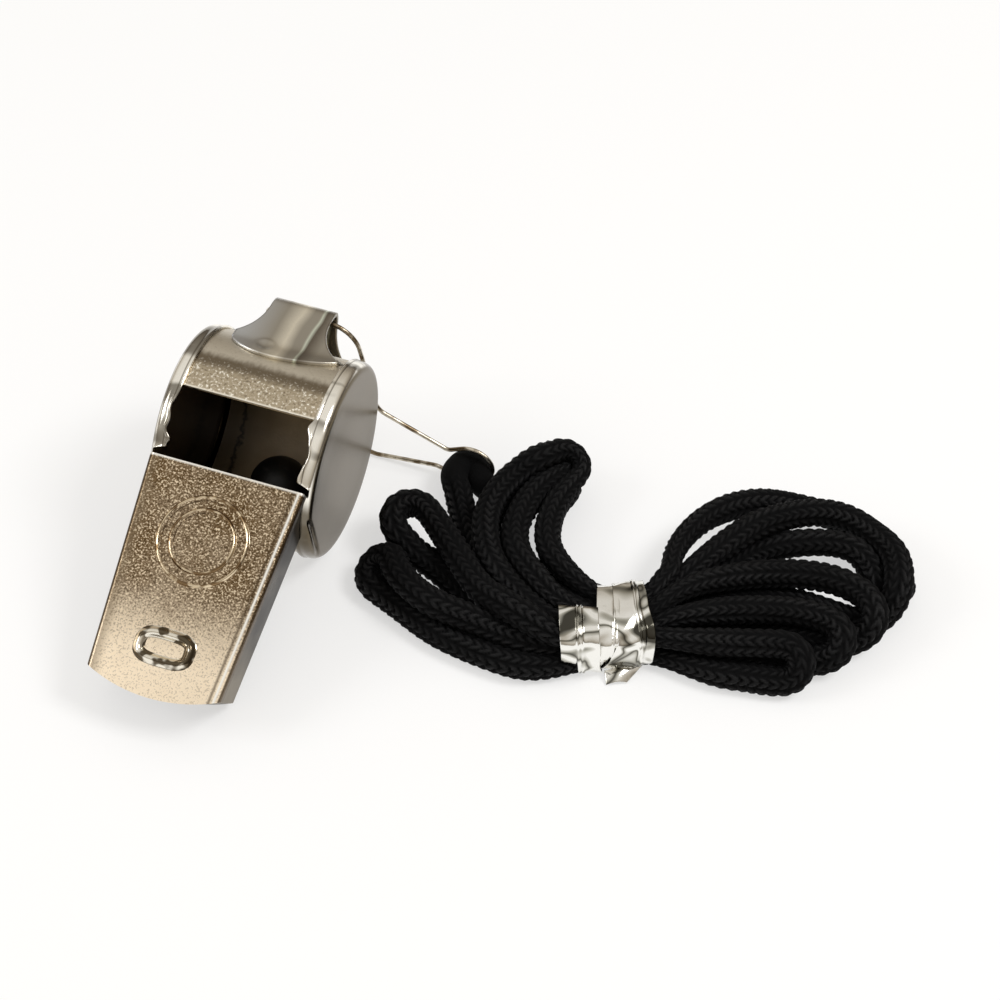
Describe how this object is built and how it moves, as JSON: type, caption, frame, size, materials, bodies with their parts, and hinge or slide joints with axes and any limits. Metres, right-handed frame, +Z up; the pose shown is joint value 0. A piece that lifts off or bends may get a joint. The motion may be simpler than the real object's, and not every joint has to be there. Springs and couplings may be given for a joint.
{
  "type": "sports whistle",
  "caption": "Pressed-metal pea whistle with a folded lanyard lug, a bent wire clip and a hank of black cord held by a foil tie.",
  "frame": {"origin": "centre of the whistle's bounding box on the floor, measured without the clip and the cord", "axes": "+Z up from the floor it lies on; -Y the way the mouth points, with the barrel towards +Y; +X the whistle's right side, where the clip and the cord lie"},
  "size_m": [0.0919, 0.0573, 0.0244],
  "materials": {
    "nickel_plate": "warm nickel plate with a fine sparkling grain",
    "nickel_barrel": "grainy nickel plate",
    "nickel_cap": "satin nickel face with a bright rim",
    "pea_plastic": "black moulded ball with a faint seam",
    "spring_wire": "bright plated spring wire",
    "cord_fabric": "black knitted braid",
    "tie_foil": "creased silver foil over a wire core"
  },
  "bodies": {
    "whistle": {"mouthpiece_cover": "nickel_plate", "mouthpiece_trough": "nickel_plate", "windway_floor": "nickel_plate", "barrel_wrap": "nickel_barrel", "left_end_cap": "nickel_cap", "right_end_cap": "nickel_cap", "lanyard_lug": "nickel_barrel"},
    "pea_ball": {"pea": "pea_plastic"},
    "clip": {"wire_clip": "spring_wire"},
    "lanyard": {"cord_bight": "cord_fabric", "cord_hank": "cord_fabric", "foil_tie": "tie_foil"}
  },
  "joints": [
    {"name": "pea_orbit", "type": "hinge", "parent": "whistle", "child": "pea_ball", "pos_m": [0, 0.01078, 0.0122], "axis": [1, 0, 0], "continuous": true},
    {"name": "clip_swing", "type": "hinge", "parent": "whistle", "child": "clip", "pos_m": [0, 0.02334, 0.02154], "axis": [1, 0, 0], "range_deg": [0, 245]},
    {"name": "lanyard_swing", "type": "hinge", "parent": "clip", "child": "lanyard", "pos_m": [0.02465, 0.02388, 0.00312], "axis": [0, -0.0289, 0.9996], "range_deg": [0, 50]}
  ]
}
